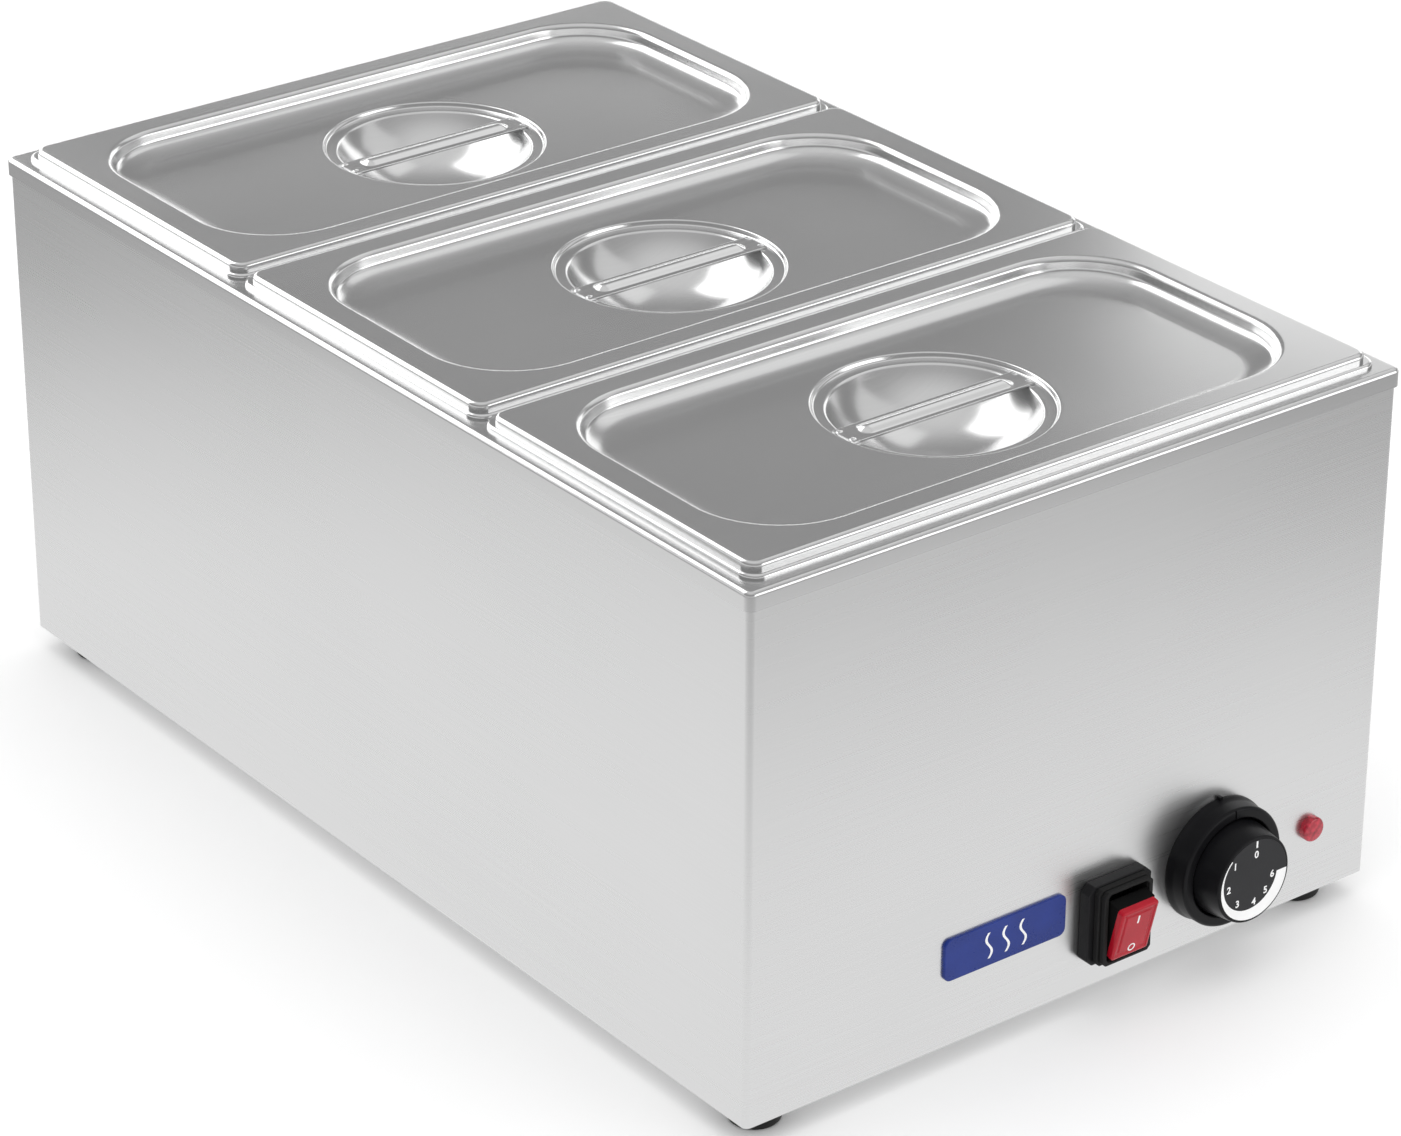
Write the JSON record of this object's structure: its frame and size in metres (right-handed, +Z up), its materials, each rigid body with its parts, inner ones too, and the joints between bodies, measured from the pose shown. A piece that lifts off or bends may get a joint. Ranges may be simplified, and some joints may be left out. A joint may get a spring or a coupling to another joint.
{
  "type": "electric buffet server",
  "caption": "Counter-top electric water-bath food warmer: steel body on rubber feet, lidded gastronorm pans side by side, rocker switch, dial knob and lamp on the low front panel.",
  "frame": {"origin": "centre of the whole object's box in X and Y, on the table under the feet", "axes": "+X to the right seen from the control panel, +Y from the control panel to the back along the length, +Z up"},
  "size_m": [0.3374, 0.5774, 0.2535],
  "materials": {
    "satin_steel": "satin",
    "bright_steel": "bright brushed",
    "plain_steel": "plain",
    "rubber_black": "matt",
    "black_plastic": "fine grain",
    "gloss_black": "gloss",
    "red_lens": "translucent red",
    "dial_grey": "printed",
    "blue_enamel": "gloss enamel",
    "element_sheath": "oxidised",
    "ceramic_white": "unglazed",
    "aluminium_plate": "mill",
    "copper_tube": "dull",
    "brass": "plain",
    "brown_wire": "plain",
    "blue_wire": "plain",
    "green_wire": "plain"
  },
  "bodies": {
    "unit": {"body_shell": "satin_steel", "water_tank": "satin_steel", "base_plate": "plain_steel", "base_screws": "plain_steel", "foot_front_left": "rubber_black", "foot_front_right": "rubber_black", "foot_rear_left": "rubber_black", "foot_rear_right": "rubber_black", "foot_washers": "plain_steel", "foot_screws": "plain_steel", "foot_nuts": "plain_steel", "heat_spreader": "aluminium_plate", "heating_element": "element_sheath", "element_insulators": "ceramic_white", "element_pins": "plain_steel", "clamp_bars": "plain_steel", "clamp_studs": "plain_steel", "clamp_nuts": "plain_steel", "safety_cutout": "black_plastic", "thermostat_body": "ceramic_white", "thermostat_screws": "plain_steel", "sensor_tube": "copper_tube", "sensor_bulb": "copper_tube", "bulb_clips": "plain_steel", "knob_bezel": "black_plastic", "switch_frame": "black_plastic", "switch_seal": "rubber_black", "switch_body": "black_plastic", "switch_tabs": "brass", "switch_pin": "plain_steel", "lamp_lens": "red_lens", "lamp_body": "black_plastic", "lamp_nut": "black_plastic", "nameplate": "blue_enamel", "terminal_block": "ceramic_white", "terminal_screws": "brass", "block_screws": "plain_steel", "gland_body": "black_plastic", "gland_cap": "black_plastic", "gland_nut": "black_plastic", "earth_stud": "brass", "wire_live": "brown_wire", "wire_neutral": "blue_wire", "wire_earth": "green_wire"},
    "front_pan": {"pan_front": "bright_steel"},
    "middle_pan": {"pan_middle": "bright_steel"},
    "rear_pan": {"pan_rear": "bright_steel"},
    "front_lid": {"lid_front": "bright_steel", "handle_front": "bright_steel"},
    "middle_lid": {"lid_middle": "bright_steel", "handle_middle": "bright_steel"},
    "rear_lid": {"lid_rear": "bright_steel", "handle_rear": "bright_steel"},
    "knob": {"control_knob": "gloss_black", "dial_plate": "dial_grey", "thermostat_shaft": "plain_steel"},
    "rocker": {"rocker_base": "black_plastic", "rocker_cap": "red_lens"}
  },
  "joints": [
    {"name": "lift_front_pan", "type": "slide", "parent": "unit", "child": "front_pan", "axis": [0, 0, 1], "range_m": [0, 0.2]},
    {"name": "lift_middle_pan", "type": "slide", "parent": "unit", "child": "middle_pan", "axis": [0, 0, 1], "range_m": [0, 0.2]},
    {"name": "lift_rear_pan", "type": "slide", "parent": "unit", "child": "rear_pan", "axis": [0, 0, 1], "range_m": [0, 0.2]},
    {"name": "lift_front_lid", "type": "slide", "parent": "front_pan", "child": "front_lid", "axis": [0, 0, 1], "range_m": [0, 0.12]},
    {"name": "lift_middle_lid", "type": "slide", "parent": "middle_pan", "child": "middle_lid", "axis": [0, 0, 1], "range_m": [0, 0.12]},
    {"name": "lift_rear_lid", "type": "slide", "parent": "rear_pan", "child": "rear_lid", "axis": [0, 0, 1], "range_m": [0, 0.12]},
    {"name": "turn_knob", "type": "hinge", "parent": "unit", "child": "knob", "pos_m": [0.0793, -0.26525, 0.049], "axis": [0, 1, 0], "range_deg": [0, 267]},
    {"name": "press_rocker", "type": "hinge", "parent": "unit", "child": "rocker", "pos_m": [0.0213, -0.27225, 0.0439], "axis": [-1, 0, 0], "range_deg": [0, 28]}
  ]
}
